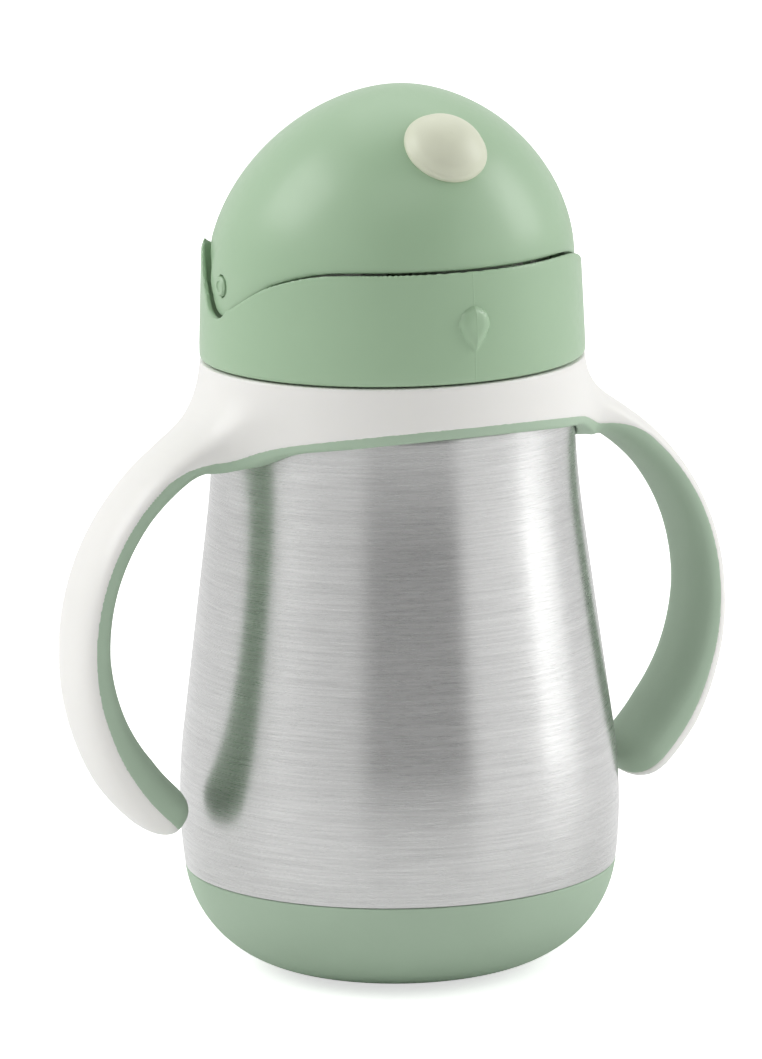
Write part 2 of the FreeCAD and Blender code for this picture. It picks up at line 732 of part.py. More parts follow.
# ---------------------------------------------------------------- cover, knob and straw
def leaning_dome(inset):
    """Solid dome, inset from the outside: a turned section whose circles lean forward."""
    base, power = size("cover_base"), size("cover_power")
    radius, rise = size("cover_radius") - inset, size("cover_rise") - inset
    count = 14
    curve_points = []
    for step in range(count + 1):
        turn = math.pi / 2 * step / count
        reach = radius * max(math.cos(turn), 0.0) ** (2 / power)
        height = rise * math.sin(turn) ** (2 / power)
        curve_points.append(FreeCAD.Vector(reach, 0, base + height))
    curve_points[-1] = FreeCAD.Vector(0, 0, base + rise)
    section = Part.BSplineCurve()
    section.interpolate(curve_points, InitialTangent=FreeCAD.Vector(0, 0, 1),
                        FinalTangent=FreeCAD.Vector(-1, 0, 0))
    foot = size("cover_foot")
    wall_line = Part.makeLine((radius, 0, foot), curve_points[0])
    axis_line = Part.makeLine(curve_points[-1], (0, 0, foot))
    foot_line = Part.makeLine((0, 0, foot), (radius, 0, foot))
    face = Part.Face(Part.Wire([wall_line, section.toShape(), axis_line, foot_line]))
    dome = face.revolve(FreeCAD.Vector(0, 0, 0), FreeCAD.Vector(0, 0, 1), 360)
    lean = FreeCAD.Matrix()
    lean.A23 = -size("cover_lean")
    lean.A24 = size("cover_lean") * base
    return dome.transformGeometry(lean)


def cover_window():
    """Block over the seam, in front of the cover's rear edge, that the cover is cut from."""
    body = new_body("cover_window")
    gap = dim("lid_gap")
    sketch = new_sketch(body, "window_outline", "YZ_Plane")
    tuck = dim("shroud_peak") - 2.5
    draw(sketch, seam_front(gap, dim("ear_radius") - gap) + [
        (dim("cover_rear_y"), tuck),
        (dim("cover_rear_y"), 180),
        (-46, 180),
    ])
    feature = body.newObject("PartDesign::Pad", "window_pad")
    feature.Profile = sketch
    feature.Midplane = True
    feature.Length = 90
    document.recompute()
    return body


def sliding_layer():
    """Skin taken off the cover behind its ears, where it slides inside the shroud."""
    height, low = 40, size("cover_foot")
    ring = Part.makeCylinder(50, height, FreeCAD.Vector(0, 0, low))
    ring = ring.cut(Part.makeCylinder(size("cover_rear_radius"), height, FreeCAD.Vector(0, 0, low)))
    hinge = FreeCAD.Vector(-50, size("hinge_y"), size("hinge_height"))
    ear = Part.makeCylinder(size("ear_radius"), 100, hinge, FreeCAD.Vector(1, 0, 0))
    behind = Part.makeBox(100, 60, height, FreeCAD.Vector(-50, size("hinge_y"), low))
    return shaped("sliding_layer", ring.common(behind).cut(ear))


def tilt_to_knob(feature):
    """Stand a feature drawn along Z on the knob's axis."""
    feature.setExpression("Placement.Rotation.Angle", "dimensions.knob_tilt * 1 deg")
    feature.Placement.Rotation = FreeCAD.Rotation(FreeCAD.Vector(1, 0, 0), size("knob_tilt"))
    return place(feature, y=dim("knob_y"), z=dim("knob_height"))


def knob_head():
    body = new_body("knob_head")
    radius, edge = dim("knob_radius"), as_dim(0.8)
    rise = dim("knob_thickness") - edge
    revolve(body, "knob_turn", [
        (0, -1),
        (radius - 0.5, -1),
        (radius, edge),
        (0, edge + rise, cap_radius(radius, rise), LEFT),
    ])
    return tilt_to_knob(body)


def knob_pieces(outer_dome):
    stem = primitive("Part::Cylinder", "knob_stem", Radius=dim("knob_stem_radius"), Height=6)
    stem.Placement.Rotation = FreeCAD.Rotation(FreeCAD.Vector(1, 0, 0), size("knob_tilt"))
    shift = as_dim(3.2)
    place(stem, y=dim("knob_y") + shift * sine(size("knob_tilt")),
          z=dim("knob_height") - shift * cosine(size("knob_tilt")))
    head = cut("knob_shell", knob_head(), outer_dome)
    knob = fused("thumb_knob", head, stem)
    clip = new_body("clip_ring")
    clip_foot, clip_top = -2.8, -1.6
    revolve(clip, "clip_turn", [
        (dim("knob_stem_radius"), clip_foot),
        (dim("clip_radius"), clip_foot),
        (dim("clip_radius"), clip_top),
        (dim("knob_stem_radius"), clip_top),
    ])
    tilt_to_knob(clip)
    clip.Label = "knob_clip"
    return stem, knob, clip


def straw_presser(inner_dome):
    """Upright rib under the dome that folds the straw down as the cover shuts."""
    body = new_body("presser_rib")
    sketch = new_sketch(body, "rib_outline", "YZ_Plane")
    tip, heel, top = (-19.5, 148.1), (-13, 145.5), dim("cover_base") + 40
    draw(sketch, [tip, heel, (-8, top), (-15.5, top), (-15.5, 160)])
    feature = body.newObject("PartDesign::Pad", "rib_pad")
    feature.Profile = sketch
    feature.Midplane = True
    feature.Length = size("presser_width")
    document.recompute()
    return common("straw_presser", body, inner_dome)


def cover_pieces():
    outer = shaped("dome_outer", leaning_dome(0))
    inner = shaped("dome_inner", leaning_dome(size("cover_wall")))
    wall_part = cut("dome_wall", outer, inner)
    cover = common("trimmed_wall", wall_part, cover_window())
    cover = cut("slim_wall", cover, sliding_layer())
    pin_room = cross_pin("ear_bore", dim("pin_radius") + dim("pin_play"), as_dim(-40), as_dim(80))
    cover = cut("bored_wall", cover, pin_room)
    stem, knob, clip = knob_pieces(outer)
    cover = cut("dome_cover", cover, stem)
    return [cover, knob, clip, straw_presser(inner)]


FOLD_DIMPLE_RADIUS = 1.0
FOLD_DIMPLE_DEPTH = 0.8


def straw_mouthpiece():
    """Silicone straw above the deck, drawn upright on its fold and then leant forward.

    A shallow round dimple on each side marks the line it folds about."""
    body = new_body("mouthpiece_body")
    radius, bore, reach = dim("straw_radius"), dim("straw_bore"), dim("straw_reach")
    revolve(body, "mouthpiece_turn", [
        (bore, -3.2),
        (radius, 0, radius, LEFT),
        (radius, reach - 3.5),
        (radius + 0.6, reach - 1.6, 4, RIGHT),
        (radius - 0.4, reach, 1.4, LEFT),
        (bore, reach),
    ])
    body.Placement.Rotation = FreeCAD.Rotation(FreeCAD.Vector(1, 0, 0), size("straw_lean"))
    place(body, y=dim("straw_y"), z=dim("straw_fold_height"))
    for name, side in SIDES:
        start = radius - FOLD_DIMPLE_DEPTH if side > 0 else radius * -1 - 1
        dimple = primitive("Part::Cylinder", "fold_dimple_" + name, Radius=FOLD_DIMPLE_RADIUS,
                           Height=FOLD_DIMPLE_DEPTH + 1)
        dimple.Placement.Rotation = FreeCAD.Rotation(FreeCAD.Vector(0, 1, 0), 90)
        place(dimple, start, dim("straw_y"), dim("straw_fold_height"))
        body = cut("straw_mouthpiece" if side > 0 else "one_dimple", body, dimple)
    return body


def straw_socket():
    body = new_body("socket_turn_body")
    bore, top = dim("straw_bore"), dim("deck_top")
    revolve(body, "socket_turn", [
        (bore, dim("socket_bottom")),
        (dim("straw_hole_radius"), dim("socket_bottom")),
        (dim("straw_hole_radius"), top),
        (dim("socket_radius"), top),
        (dim("socket_radius"), top + 1.3),
        (bore, top + 1.3),
    ])
    place(body, y=dim("straw_y"))
    room = primitive("Part::Sphere", "fold_room", Radius=dim("straw_radius") + dim("lid_gap"))
    place(room, y=dim("straw_y"), z=dim("straw_fold_height"))
    return cut("straw_socket", body, room)


def straw_tube():
    length = dim("socket_bottom") - dim("straw_foot_height")
    outer = primitive("Part::Cylinder", "tube_outer", Radius=dim("straw_radius") - 0.6, Height=length)
    inner = primitive("Part::Cylinder", "tube_inner", Radius=dim("straw_bore"), Height=length + 2)
    place(outer, y=dim("straw_y"), z=dim("straw_foot_height"))
    place(inner, y=dim("straw_y"), z=dim("straw_foot_height") - 1)
    return cut("straw_tube", outer, inner)


# ---------------------------------------------------------------- build, check, write
def build_all():
    pieces = [vessel_shell(), vessel_liner(), vessel_base_disc(), base_boot()]
    pieces += handle_pieces()
    pieces += [lid_collar(), lid_deck()] + hinge_pins()
    pieces += [lid_gasket(), rear_shield(), vent_valve(), straw_socket(), straw_tube()]
    pieces += cover_pieces() + [straw_mouthpiece()]
    document.recompute()
    return pieces


def check_document():
    for feature in document.Objects:
        if {"Invalid", "Error"} & set(feature.State):
            raise RuntimeError("failed object: " + feature.Label)


def write_pieces(pieces):
    os.makedirs("parts", exist_ok=True)
    for piece in pieces:
        shape = piece.Shape
        if shape.isNull() or not shape.isValid() or not shape.Solids:
            raise RuntimeError("bad shape: " + piece.Label)
        shape.exportStep(os.path.join("parts", piece.Label + ".step"))
        print(piece.Label, len(shape.Solids), "solid, volume", round(shape.Volume, 1))


sub_parts = build_all()
check_document()
write_pieces(sub_parts)
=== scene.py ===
import bpy
import json
import math
import numpy as np
from mathutils import Matrix, Vector


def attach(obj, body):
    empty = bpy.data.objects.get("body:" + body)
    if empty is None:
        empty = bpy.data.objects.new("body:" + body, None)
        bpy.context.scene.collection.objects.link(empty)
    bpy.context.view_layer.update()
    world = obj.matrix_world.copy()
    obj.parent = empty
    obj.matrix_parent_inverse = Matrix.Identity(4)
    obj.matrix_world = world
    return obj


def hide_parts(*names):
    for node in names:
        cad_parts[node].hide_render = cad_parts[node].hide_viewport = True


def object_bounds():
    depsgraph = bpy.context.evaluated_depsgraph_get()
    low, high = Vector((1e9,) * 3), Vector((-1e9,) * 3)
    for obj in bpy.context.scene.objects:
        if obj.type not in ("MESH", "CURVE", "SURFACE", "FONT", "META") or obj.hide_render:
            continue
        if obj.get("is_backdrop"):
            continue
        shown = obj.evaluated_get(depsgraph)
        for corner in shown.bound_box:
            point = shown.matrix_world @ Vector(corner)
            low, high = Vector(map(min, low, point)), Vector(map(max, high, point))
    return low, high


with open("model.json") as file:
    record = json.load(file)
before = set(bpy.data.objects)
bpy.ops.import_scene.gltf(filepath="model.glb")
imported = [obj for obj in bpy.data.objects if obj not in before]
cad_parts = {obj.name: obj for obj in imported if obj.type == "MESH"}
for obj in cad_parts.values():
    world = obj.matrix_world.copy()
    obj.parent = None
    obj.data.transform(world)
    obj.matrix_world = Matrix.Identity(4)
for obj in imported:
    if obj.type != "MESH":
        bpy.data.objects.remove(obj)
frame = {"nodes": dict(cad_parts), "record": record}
CAD_LOW, CAD_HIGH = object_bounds()

# Straw cup. All sizes below are millimetres in the CAD frame and become metres in to_mesh().
MM = 0.001

# ---------------------------------------------------------------- driving sizes
RING_TOP, RING_RADIUS = 117.05, 36.4
RING_EDGE, BAND_HEIGHT = 108.9, 1.7
SHOULDER_RADIUS, NECK_RADIUS = 34.3, 27.0
ARC_X, ARC_Z, ARC_RADIUS = 23.3, 66.0, 41.2
COLLAR_FOOT, COLLAR_TOP, COLLAR_BORE = 117.4, 138.2, 35.05
HINGE_Y, HINGE_Z = 1.0, 133.0
EAR_RADIUS, LID_GAP = 5.9, 0.24
SHROUD_PEAK_Y, SHROUD_PEAK, SHROUD_RIM = 14.5, 140.0, 134.5
COVER_BASE, COVER_RADIUS, COVER_RISE, COVER_POWER = 135.0, 34.6, 34.3, 1.84
COVER_LEAN, COVER_WALL, COVER_REAR_Y, COVER_SLIDE_RADIUS = 0.14, 1.8, 14.5, 34.15


# ---------------------------------------------------------------- fields: negative inside, mm
def blend_max(a, b, size):
    """Intersection of two fields with a rounded edge of about that size."""
    mix = np.clip(0.5 - 0.5 * (b - a) / size, 0, 1)
    return b + (a - b) * mix + size * mix * (1 - mix)


def blend_min(a, b, size):
    """Union of two fields with a fillet of about that size."""
    return -blend_max(-a, -b, size)


def smooth_step(value, low, high):
    t = np.clip((value - low) / (high - low), 0, 1)
    return t * t * (3 - 2 * t)


def rounded_solid(parts, power):
    """Field of a superellipsoid; parts holds a (distance, half size) pair for each axis."""
    scaled = [np.maximum(np.abs(value) / half, 1e-6) for value, half in parts]
    total = sum(s ** power for s in scaled) ** (1 / power)
    slope = np.sqrt(sum((total ** (1 - power) * s ** (power - 1) / half) ** 2
                        for s, (value, half) in zip(scaled, parts)))
    return (total - 1) / slope


class Outline:
    """Signed distance to a closed outline, tabulated once so that it is quick to look up."""

    STEP = 0.1

    def __init__(self, points):
        points = np.array(points, float)
        self.low = points.min(0) - 6
        count = np.ceil((points.max(0) + 6 - self.low) / self.STEP).astype(int)
        u, v = np.meshgrid(*[self.low[i] + self.STEP * np.arange(count[i] + 1) for i in (0, 1)],
                           indexing="ij")
        nearest = np.full(u.shape, 1e9)
        inside = np.zeros(u.shape, bool)
        for (ax, ay), (bx, by) in zip(points, np.roll(points, -1, axis=0)):
            dx, dy = bx - ax, by - ay
            along = np.clip(((u - ax) * dx + (v - ay) * dy) / (dx * dx + dy * dy + 1e-12), 0, 1)
            gap = np.hypot(u - ax - along * dx, v - ay - along * dy)
            nearest = np.minimum(nearest, gap)
            if ay != by:
                crosses = (v < ay) != (v < by)
                inside ^= crosses & (u < ax + (v - ay) * dx / dy)
        self.table = np.where(inside, -nearest, nearest)

    def __call__(self, u, v):
        top = np.array(self.table.shape) - 1.001
        a = np.clip((u - self.low[0]) / self.STEP, 0, top[0])
        b = np.clip((v - self.low[1]) / self.STEP, 0, top[1])
        i, j = a.astype(int), b.astype(int)
        a, b = a - i, b - j
        t = self.table
        return ((t[i, j] * (1 - a) + t[i + 1, j] * a) * (1 - b)
                + (t[i, j + 1] * (1 - a) + t[i + 1, j + 1] * a) * b)


def curve_through(points, count=10):
    """Smooth curve through given points (Catmull-Rom)."""
    p = np.array(points, float)
    p = np.vstack([2 * p[0] - p[1], p, 2 * p[-1] - p[-2]])
    out = []
    for a, b, c, d in zip(p, p[1:], p[2:], p[3:]):
        for t in np.arange(count) / count:
            out.append(0.5 * (2 * b + (c - a) * t + (2 * a - 5 * b + 4 * c - d) * t * t
                              + (3 * b - a - 3 * c + d) * t ** 3))
    return [tuple(q) for q in out] + [tuple(p[-2])]


def arc(centre, radius, start, end, count=24):
    """Points on an arc, angles in degrees."""
    angles = np.radians(np.linspace(start, end, count))
    return [(centre[0] + radius * math.cos(a), centre[1] + radius * math.sin(a)) for a in angles]


# ---------------------------------------------------------------- field to mesh
EDGE_ANGLE = 38        # degrees; edges sharper than this stay crisp
SLAB_POINTS = 600000   # most grid points worked out at once
SETTLE_ROUNDS, SETTLE_REACH, SETTLE_LIMIT = 4, 0.02, 0.3
CORNERS = np.array([(i, j, k) for i in (0, 1) for j in (0, 1) for k in (0, 1)])
EDGES = [(a, b) for a in range(8) for b in range(8)
         if a < b and np.abs(CORNERS[a] - CORNERS[b]).sum() == 1]


def sample_field(field, axes):
    """Values of the field on the grid, worked out a slab at a time."""
    values = np.empty([len(a) for a in axes], np.float32)
    slab = max(1, int(SLAB_POINTS / (len(axes[1]) * len(axes[2]))))
    for start in range(0, len(axes[0]), slab):
        grid = np.meshgrid(axes[0][start:start + slab], axes[1], axes[2], indexing="ij")
        values[start:start + slab] = field(*grid)
    return values


def crossed_cells(inside):
    """Cells that the surface passes through, and the number of each on the grid."""
    nx, ny, nz = [size - 1 for size in inside.shape]
    count = sum(inside[i:nx + i, j:ny + j, k:nz + k].astype(np.int8) for i, j, k in CORNERS)
    cells = np.argwhere((count > 0) & (count < len(CORNERS)))
    number = np.full(count.shape, -1, np.int64)
    number[tuple(cells.T)] = np.arange(len(cells))
    return cells, number


def cell_points(values, cells):
    """Mean of each cell's edge crossings, counted in cells from the grid's low corner."""
    corner_values = np.stack([values[tuple((cells + c).T)] for c in CORNERS], axis=1)
    total, hits = np.zeros((len(cells), 3)), np.zeros(len(cells))
    for a, b in EDGES:
        va, vb = corner_values[:, a], corner_values[:, b]
        crossed = (va < 0) != (vb < 0)
        t = np.where(crossed, va / np.where(crossed, va - vb, 1), 0)
        point = CORNERS[a] + (CORNERS[b] - CORNERS[a]) * t[:, None]
        total += point * crossed[:, None]
        hits += crossed
    return cells + total / hits[:, None]


def crossing_quads(inside, number):
    """One quad round each grid edge that the surface crosses, facing outward."""
    quads = []
    for axis in range(3):
        first = [slice(1, -1)] * 3
        first[axis] = slice(0, -1)
        second = list(first)
        second[axis] = slice(1, None)
        at = np.argwhere(inside[tuple(first)] != inside[tuple(second)]) + 1
        at[:, axis] -= 1
        outward = inside[tuple(at.T)]
        side, up = [np.eye(3, dtype=int)[(axis + n) % 3] for n in (1, 2)]
        ring = [number[tuple((at - offset).T)] for offset in (side + up, up, side * 0, side)]
        quad = np.stack(ring, axis=1)
        quad[~outward] = quad[~outward][:, ::-1]
        quads.append(quad)
    return np.vstack(quads)


def net_of(field, low, high, step):
    """Surface net of field < 0: one point per crossed cell, one quad per crossed grid edge."""
    axes = [np.arange(low[i], high[i] + step, step) for i in range(3)]
    values = sample_field(field, axes)
    inside = values < 0
    cells, number = crossed_cells(inside)
    points = np.array(low) + step * cell_points(values, cells)
    return points, crossing_quads(inside, number)


def slope_of(field, points):
    """Gradient of the field at the points, by central differences."""
    sides = []
    for reach in np.eye(3) * SETTLE_REACH:
        ahead, behind = points + reach, points - reach
        sides.append((field(*ahead.T) - field(*behind.T)) / (2 * SETTLE_REACH))
    return np.stack(sides, axis=1)


def settle(field, points):
    """Move the net's points onto the field's zero surface, a short way in each round."""
    for _ in range(SETTLE_ROUNDS):
        slope = slope_of(field, points)
        length = np.maximum((slope ** 2).sum(1), 0.05)
        move = slope * (field(*points.T) / length)[:, None]
        far = np.linalg.norm(move, axis=1)
        points = points - move * np.minimum(1, SETTLE_LIMIT / np.maximum(far, 1e-9))[:, None]
    return points


def to_mesh(name, points, faces):
    mesh = bpy.data.meshes.new(name)
    mesh.from_pydata((np.array(points) * MM).tolist(), [], [list(map(int, f)) for f in faces])
    mesh.validate()
    mesh.polygons.foreach_set("use_smooth", [True] * len(mesh.polygons))
    mesh.set_sharp_from_angle(angle=math.radians(EDGE_ANGLE))
    piece = bpy.data.objects.new(name, mesh)
    bpy.context.scene.collection.objects.link(piece)
    return piece


def mould(name, field, low, high, step):
    points, quads = net_of(field, low, high, step)
    return to_mesh(name, settle(field, points), quads)


def lathe(name, outline, turns=192):
    """Turn a closed outline of (radius, height) points about Z."""
    outline = [(max(r, 0.0), z) for r, z in outline]
    points, rows = [], []
    for r, z in outline:
        if r < 1e-6:
            rows.append([len(points)] * turns)
            points.append((0, 0, z))
            continue
        rows.append(list(range(len(points), len(points) + turns)))
        for step in range(turns):
            around = 2 * math.pi * step / turns
            points.append((r * math.cos(around), r * math.sin(around), z))
    faces = []
    for below, above in zip(rows, rows[1:] + rows[:1]):
        for step in range(turns):
            after = (step + 1) % turns
            ring = [below[step], below[after], above[after], above[step]]
            ring = [v for i, v in enumerate(ring) if v not in ring[:i]]
            if len(ring) > 2:
                faces.append(ring)
    return to_mesh(name, points, faces)


# ---------------------------------------------------------------- handle ring and grips
EDGE_FALL, EDGE_BEND, EDGE_DROP, EDGE_ROUND = 7.6, 2.6, 5.7, 1.6
ARM_ANGLES = [-60, -45, -35, -20, 0, 20, 40, 56, 68, 80, 95]
ARM_THICKNESS = [9.6, 10.2, 10.3, 8.8, 7.1, 6.4, 6.2, 6.7, 8.0, 10.5, 13.0]
ARM_WIDTH = [17.8, 18.2, 18.2, 17.2, 16.4, 16.4, 16.4, 17.2, 20.0, 25.0, 28.0]
TIP_START, TIP_LENGTH, ARM_POWER = -46.3, 6.6, 2.5
ARM_ROOT, ARM_BACK, ARM_FILLET = 84, 140, 9.0
PARTING_ANGLES, PARTING_OFFSETS = [-52, -20, 50], [1.3, 0.7, 0.45]
PARTING_FALL, FALL_START, FALL_END = 4.4, 50, 77
JOIN_OUTER, JOIN_INNER = 40.5, 36.0
BAND_THINNING, THIN_START, THIN_END = 0.3, 20, 34
RING_ROUND, VESSEL_CLEARANCE = 0.45, 0.3
HARD_ROUND, HARD_GAP = 0.5, 0.02
SOFT_ROUND, SOFT_SINK, SOFT_UNDERLAP = 0.3, 0.05, 0.5
HANDLE_LOW, HANDLE_HIGH = (-69.2, -37.6, 28.6), (69.2, 37.6, 117.8)
HANDLE_STEP = 0.45


def ring_edge(y):
    """Height of the white ring's lower edge, which dips towards the handles."""
    u = 1 - np.clip(np.abs(y) / RING_RADIUS, 0, 1)
    return RING_EDGE - blend_min(EDGE_FALL * u + EDGE_BEND * u ** 4, EDGE_DROP, EDGE_ROUND)


def arm_frame(x, z):
    """Angle along the handle's arc in degrees, and distance outward from its centre line."""
    across, up = np.abs(x) - ARC_X, z - ARC_Z
    return np.degrees(np.arctan2(up, across)), np.hypot(across, up) - ARC_RADIUS


def arm_field(x, y, z):
    """Both arms: a rounded section along the arc, ending in a round tip."""
    angle, outward = arm_frame(x, z)
    along = np.clip(angle, ARM_ANGLES[0], ARM_ANGLES[-1])
    half_thick = np.interp(along, ARM_ANGLES, ARM_THICKNESS) / 2
    half_wide = np.interp(along, ARM_ANGLES, ARM_WIDTH) / 2
    past_tip = np.maximum(np.radians(TIP_START - angle), 0) * ARC_RADIUS
    tip = (past_tip, np.full_like(past_tip, TIP_LENGTH))
    body = rounded_solid([(outward, half_thick), (y, half_wide), tip], ARM_POWER)
    inside_ring = np.radians(np.maximum(angle - ARM_ROOT, 0)) * ARC_RADIUS
    far_side = np.where(np.abs(angle) > ARM_BACK, 60.0, -99.0)
    return np.maximum(np.maximum(body, inside_ring - 1), far_side)


def parting_field(x, y, z):
    """Positive in the hard outer layer, negative in the soft inner one."""
    angle, outward = arm_frame(x, z)
    offset = np.interp(angle, PARTING_ANGLES, PARTING_OFFSETS)
    offset = offset - PARTING_FALL * smooth_step(angle, FALL_START, FALL_END)
    near_ring = smooth_step(-np.hypot(x, y), -JOIN_OUTER, -JOIN_INNER)
    return (outward - offset) * (1 - near_ring) + (z - ring_edge(y)) * near_ring


def ring_and_arms(x, y, z):
    """Ring and arms together, both layers, cleared of the vessel."""
    r = np.hypot(x, y)
    thinning = 1 - BAND_THINNING * smooth_step(np.abs(x), THIN_START, THIN_END)
    lower = ring_edge(y) - BAND_HEIGHT * thinning
    wall = blend_max(r - RING_RADIUS, lower - z, RING_ROUND)
    joined = blend_min(wall, arm_field(x, y, z), ARM_FILLET)
    joined = blend_max(joined, z - RING_TOP, RING_ROUND)
    vessel = np.where(z > RING_EDGE - 0.05, NECK_RADIUS, SHOULDER_RADIUS) + VESSEL_CLEARANCE
    return np.maximum(joined, vessel - r)


def hard_field(x, y, z):
    return blend_max(ring_and_arms(x, y, z), HARD_GAP - parting_field(x, y, z), HARD_ROUND)


def soft_field(x, y, z):
    """The soft layer runs on a little way beneath the hard one's edge."""
    return blend_max(ring_and_arms(x, y, z) + SOFT_SINK,
                     parting_field(x, y, z) - SOFT_UNDERLAP, SOFT_ROUND)


def make_handles():
    hard = mould("handle_frame_moulding", hard_field, HANDLE_LOW, HANDLE_HIGH, HANDLE_STEP)
    soft = mould("soft_grip_moulding", soft_field, HANDLE_LOW, HANDLE_HIGH, HANDLE_STEP)
    return hard, soft


# ---------------------------------------------------------------- collar and cover
SEAM_FRONT = [(-60, COLLAR_TOP), (-34, COLLAR_TOP), (-27, 138.1), (-22.8, 137.5), (-18.5, 136.2),
              (-14.1, 134.5), (-9.8, 132.2), (-6.2, 130.2)]
SEAM_REAR = [(7.0, 131.0), (8.6, 132.6), (10.0, 134.6), (11.6, 137.2), (13.2, 139.3)]
SEAM_ROUND = 0.4
FOOT_RADIUS, FOOT_ROUND = 35.8, 0.7
COLLAR_SIDE = [(36.5, 120.0), (36.35, 124.0), (36.2, 128.0), (36.05, 131.8), (35.9, 135.4),
               (35.75, 138.2), (35.3, 139.8), (35.2, 144.0)]
COLLAR_LOW, COLLAR_HIGH, COLLAR_STEP = (-37.6, -38.2, 116.6), (37.6, 37.6, 140.9), 0.4
DROP_FOOT, DROP_TOP = (0, 123.3), (0, 131.75)
DROP_SIDE = [(1.5, 125.2), (2.7, 127.3), (2.95, 128.9), (2.2, 130.6), (0.9, 131.4)]
DROP_RISE, DROP_SLOPE, DROP_FRONT = 1.15, 1.9, -30
SLIDE_ROUND, PIN_BORE = 0.6, 2.12
COVER_LOW, COVER_HIGH, COVER_STEP = (-35.8, -36.4, 126.4), (35.8, 16.0, 170.2), 0.45


def seam_curve():
    """Seam between collar and cover, seen from the side, from the front to behind the ear."""
    notch = arc((HINGE_Y, HINGE_Z), EAR_RADIUS, 222, 336, 20)
    return curve_through(SEAM_FRONT) + notch + curve_through(SEAM_REAR)


def collar_profile():
    """Section of the collar: radius and height, outer side first."""
    outer = [(34.3, COLLAR_FOOT), (FOOT_RADIUS, COLLAR_FOOT)]
    outer += arc((FOOT_RADIUS, COLLAR_FOOT + FOOT_ROUND), FOOT_ROUND, -90, 0, 6)
    outer += curve_through(COLLAR_SIDE, 6)
    return outer + [(COLLAR_BORE, 144.0), (COLLAR_BORE, 121.0), (34.55, 121.0), (34.55, 119.0)]


def drop_outline():
    """Outline of the raised drop mark, seen from the front."""
    left = [(-x, z) for x, z in DROP_SIDE]
    return curve_through([DROP_FOOT] + left + [DROP_TOP] + DROP_SIDE[::-1] + [DROP_FOOT])[:-1]


def shell_of_dome(x, y, z):
    """Outer surface of the leaning dome, straight-walled below its base."""
    up = z - COVER_BASE
    r = np.hypot(x, y + COVER_LEAN * up)
    return rounded_solid([(r, np.full_like(r, COVER_RADIUS)),
                          (np.maximum(up, 0), np.full_like(r, COVER_RISE))], COVER_POWER)


def make_collar():
    top = [(SHROUD_PEAK_Y, SHROUD_PEAK - 0.1), (17.5, 139.6), (24, 137.3), (60, SHROUD_RIM - 1.5)]
    profile, drop = Outline(collar_profile()), Outline(drop_outline())
    solid = Outline(seam_curve() + top + [(60, 100), (-60, 100)])

    def field(x, y, z):
        within = np.clip(-drop(x, z) / DROP_SLOPE, 0, 1)
        bulge = DROP_RISE * np.sqrt(1 - (1 - within) ** 2)
        raised = profile(np.hypot(x, y), z) - np.where(y < DROP_FRONT, bulge, 0)
        return blend_max(raised, solid(y, z), SEAM_ROUND)

    return mould("collar_moulding", field, COLLAR_LOW, COLLAR_HIGH, COLLAR_STEP)


def make_cover():
    rear = [(COVER_REAR_Y, 139.3), (COVER_REAR_Y, 190), (-60, 190)]
    window = Outline(seam_curve() + rear)

    def field(x, y, z):
        from_hinge = np.hypot(y - HINGE_Y, z - HINGE_Z)
        behind = smooth_step(y, HINGE_Y - 1, HINGE_Y + 2)
        away = smooth_step(from_hinge, EAR_RADIUS, EAR_RADIUS + 1.5)
        sliding = (np.hypot(x, y) - COVER_SLIDE_RADIUS) - 3 * (1 - behind * away)
        outer = blend_max(shell_of_dome(x, y, z), sliding, SLIDE_ROUND)
        wall = np.maximum(outer, -(outer + COVER_WALL))
        edge = blend_max(wall, window(y, z) + LID_GAP, SEAM_ROUND)
        return np.maximum(edge, PIN_BORE - from_hinge)

    return mould("cover_moulding", field, COVER_LOW, COVER_HIGH, COVER_STEP)


# ---------------------------------------------------------------- turned pieces
BOOT_TOP, BOOT_FOOT, BOOT_CURVE, BOOT_RECESS = 19.4, 19.4, 22.0, 0.8
BOOT_SEAM = 0.12
BELLY, BELLY_BOW = (42.0, 31.0), 84
FLANK_LOW, FLANK_LOW_BOW = (40.85, 47.0), 112
FLANK_HIGH, WAIST_BOW = (35.9, 85.0), -196
SHOULDER, SHOULDER_ROUND = (SHOULDER_RADIUS, 105.8), 3.0
NECK_FOOT, RIM_TOP, STEEL_WALL = 108.8, 129.0, 0.8
STEEL_INSIDE = [(30, 100), (34, 60), (38, 22)]
KNOB_Y, KNOB_Z, KNOB_TILT = -24.4, 159.4, 42.0
KNOB_RADIUS, KNOB_EDGE, KNOB_SINK = 8.0, 1.1, -0.6
KNOB_TOP = [(6.5, 2.85), (4.6, 4.15), (2.4, 4.95), (0, 5.2)]
PIN_RADIUS, PIN_INNER, PIN_CHAMFER = 1.9, 28.9, 0.35
PIN_END = [(1.1, 6.3), (0.9, 6.05), (0, 6.0)]


def bow(a, b, radius, count=16):
    """Points on the arc from a to b; a positive radius bulges to the right of that direction."""
    ax, ay, bx, by = *a, *b
    chord = math.hypot(bx - ax, by - ay)
    rise = math.copysign(math.sqrt(radius ** 2 - chord ** 2 / 4), radius)
    cx = (ax + bx) / 2 - (by - ay) / chord * rise
    cy = (ay + by) / 2 + (bx - ax) / chord * rise
    start, end = math.atan2(ay - cy, ax - cx), math.atan2(by - cy, bx - cx)
    sweep = (end - start + math.pi) % (2 * math.pi) - math.pi
    return arc((cx, cy), abs(radius), math.degrees(start), math.degrees(start + sweep), count)


